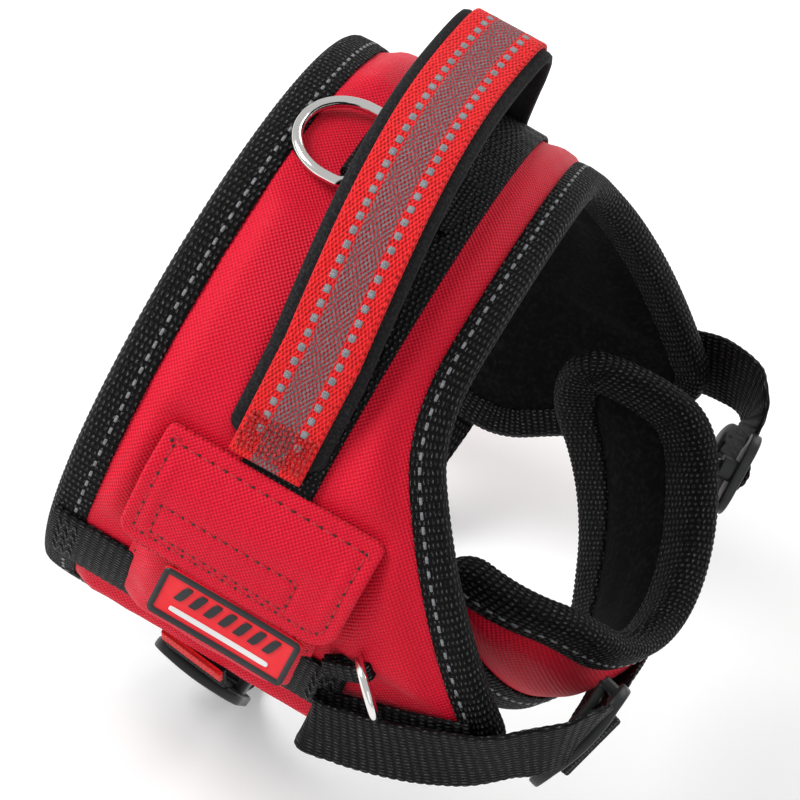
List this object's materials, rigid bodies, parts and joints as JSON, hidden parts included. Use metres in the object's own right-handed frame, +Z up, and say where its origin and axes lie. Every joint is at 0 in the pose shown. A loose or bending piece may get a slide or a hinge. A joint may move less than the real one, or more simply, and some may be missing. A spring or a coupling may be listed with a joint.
{
  "type": "no pull dog harness",
  "caption": "Padded no pull dog harness: arched saddle with grab handle, leash ring, two flap pockets, chest pad on adjustable straps and buckled belly strap.",
  "frame": {"origin": "centre of the girth circle, level with the middle of the grab handle", "axes": "+X to the dog's head, +Y to the dog's left, +Z up along the spine side"},
  "size_m": [0.1589, 0.1992, 0.195],
  "materials": {
    "red_cloth": "matte woven polyester",
    "foam": "open cell foam",
    "black_lining": "soft brushed lining",
    "edge_tape": "cross ribbed tape with a grey reflective stitch",
    "black_webbing": "ribbed nylon webbing",
    "red_webbing": "coarse woven webbing with grey reflective threads",
    "neoprene": "matte neoprene",
    "chrome_wire": "polished",
    "black_plastic": "lightly grained acetal",
    "hook_and_loop": "hook and loop tape",
    "badge_rubber": "soft moulded rubber"
  },
  "bodies": {
    "harness": {"saddle_cover": "red_cloth", "saddle_foam": "foam", "saddle_lining": "black_lining", "saddle_binding": "edge_tape", "back_strap": "black_webbing", "handle_end_right": "red_webbing", "handle_end_left": "red_webbing", "d_ring_loop": "black_webbing", "side_strap_right": "black_webbing", "side_strap_left": "black_webbing", "side_ring_tab_right": "black_webbing", "side_ring_tab_left": "black_webbing", "pocket_pouch_right": "red_cloth", "pocket_pouch_left": "red_cloth", "pocket_loop_tape_right": "hook_and_loop", "pocket_loop_tape_left": "hook_and_loop", "belly_strap_right": "black_webbing", "belly_strap_left": "black_webbing", "belly_strap_anchor": "red_webbing", "buckle_socket": "black_plastic", "buckle_plug": "black_plastic"},
    "handle": {"handle_webbing": "red_webbing", "handle_pad": "neoprene"},
    "leash_ring": {"d_ring": "chrome_wire"},
    "side_ring_right": {"side_ring_right": "chrome_wire"},
    "side_ring_left": {"side_ring_left": "chrome_wire"},
    "pocket_flap_right": {"pocket_flap_right": "red_cloth", "flap_hook_tape_right": "hook_and_loop", "pull_badge_right": "badge_rubber"},
    "pocket_flap_left": {"pocket_flap_left": "red_cloth", "flap_hook_tape_left": "hook_and_loop", "pull_badge_left": "badge_rubber"},
    "chest_pad": {"chest_pad_cover": "red_cloth", "chest_pad_foam": "foam", "chest_pad_lining": "black_lining", "chest_pad_binding": "edge_tape", "chest_front_strap": "black_webbing", "chest_strap_right": "black_webbing", "chest_strap_left": "black_webbing"},
    "chest_slider_right": {"chest_slider_right": "black_plastic"},
    "chest_slider_left": {"chest_slider_left": "black_plastic"},
    "belly_slider": {"belly_slider": "black_plastic"},
    "buckle_arm_front": {"buckle_arm_front": "black_plastic"},
    "buckle_arm_rear": {"buckle_arm_rear": "black_plastic"}
  },
  "joints": [
    {"name": "handle_tilt", "type": "hinge", "parent": "harness", "child": "handle", "pos_m": [-0.00171, -0.06394, 0.066], "axis": [-0.0431, 0.9862, 0.1601], "range_deg": [-12, 16], "stiffness_Nm_per_rad": 0.05},
    {"name": "leash_ring_swing", "type": "hinge", "parent": "harness", "child": "leash_ring", "pos_m": [-0.02, -0.0111, 0.08548], "axis": [0, 0.9917, 0.1288], "range_deg": [0, 60]},
    {"name": "side_ring_right_swing", "type": "hinge", "parent": "harness", "child": "side_ring_right", "pos_m": [0.04399, -0.0857, 0.001], "axis": [-0.5582, 0, 0.8297], "range_deg": [-25, 25]},
    {"name": "side_ring_left_swing", "type": "hinge", "parent": "harness", "child": "side_ring_left", "pos_m": [0.04399, 0.0857, 0.001], "axis": [0.5582, 0, -0.8297], "range_deg": [-25, 25]},
    {"name": "pocket_flap_right_open", "type": "hinge", "parent": "harness", "child": "pocket_flap_right", "pos_m": [0, -0.08144, 0.03712], "axis": [-1, 0, 0], "range_deg": [0, 110]},
    {"name": "pocket_flap_left_open", "type": "hinge", "parent": "harness", "child": "pocket_flap_left", "pos_m": [0, 0.08144, 0.03712], "axis": [1, 0, 0], "range_deg": [0, 110]},
    {"name": "chest_pad_swing", "type": "hinge", "parent": "harness", "child": "chest_pad", "pos_m": [0.041, 0, -0.0255], "axis": [0, 1, 0], "range_deg": [-1, 8], "stiffness_Nm_per_rad": 0.4},
    {"name": "chest_slider_right_slide", "type": "slide", "parent": "chest_pad", "child": "chest_slider_right", "axis": [0.0268, 0.6862, -0.7269], "range_m": [-0.003, 0.002]},
    {"name": "chest_slider_left_slide", "type": "slide", "parent": "chest_pad", "child": "chest_slider_left", "axis": [0.0268, -0.6862, -0.7269], "range_m": [-0.003, 0.002]},
    {"name": "belly_slider_slide", "type": "slide", "parent": "harness", "child": "belly_slider", "axis": [0.0893, 0.669, -0.7379], "range_m": [-0.003, 0.004]},
    {"name": "buckle_arm_front_squeeze", "type": "hinge", "parent": "harness", "child": "buckle_arm_front", "pos_m": [0.01861, -0.00492, -0.085], "axis": [0, 0, 1], "range_deg": [0, 6], "stiffness_Nm_per_rad": 0.7},
    {"name": "buckle_arm_rear_squeeze", "type": "hinge", "parent": "harness", "child": "buckle_arm_rear", "pos_m": [0.00433, -0.00301, -0.085], "axis": [0, 0, -1], "range_deg": [0, 6], "stiffness_Nm_per_rad": 0.7}
  ]
}
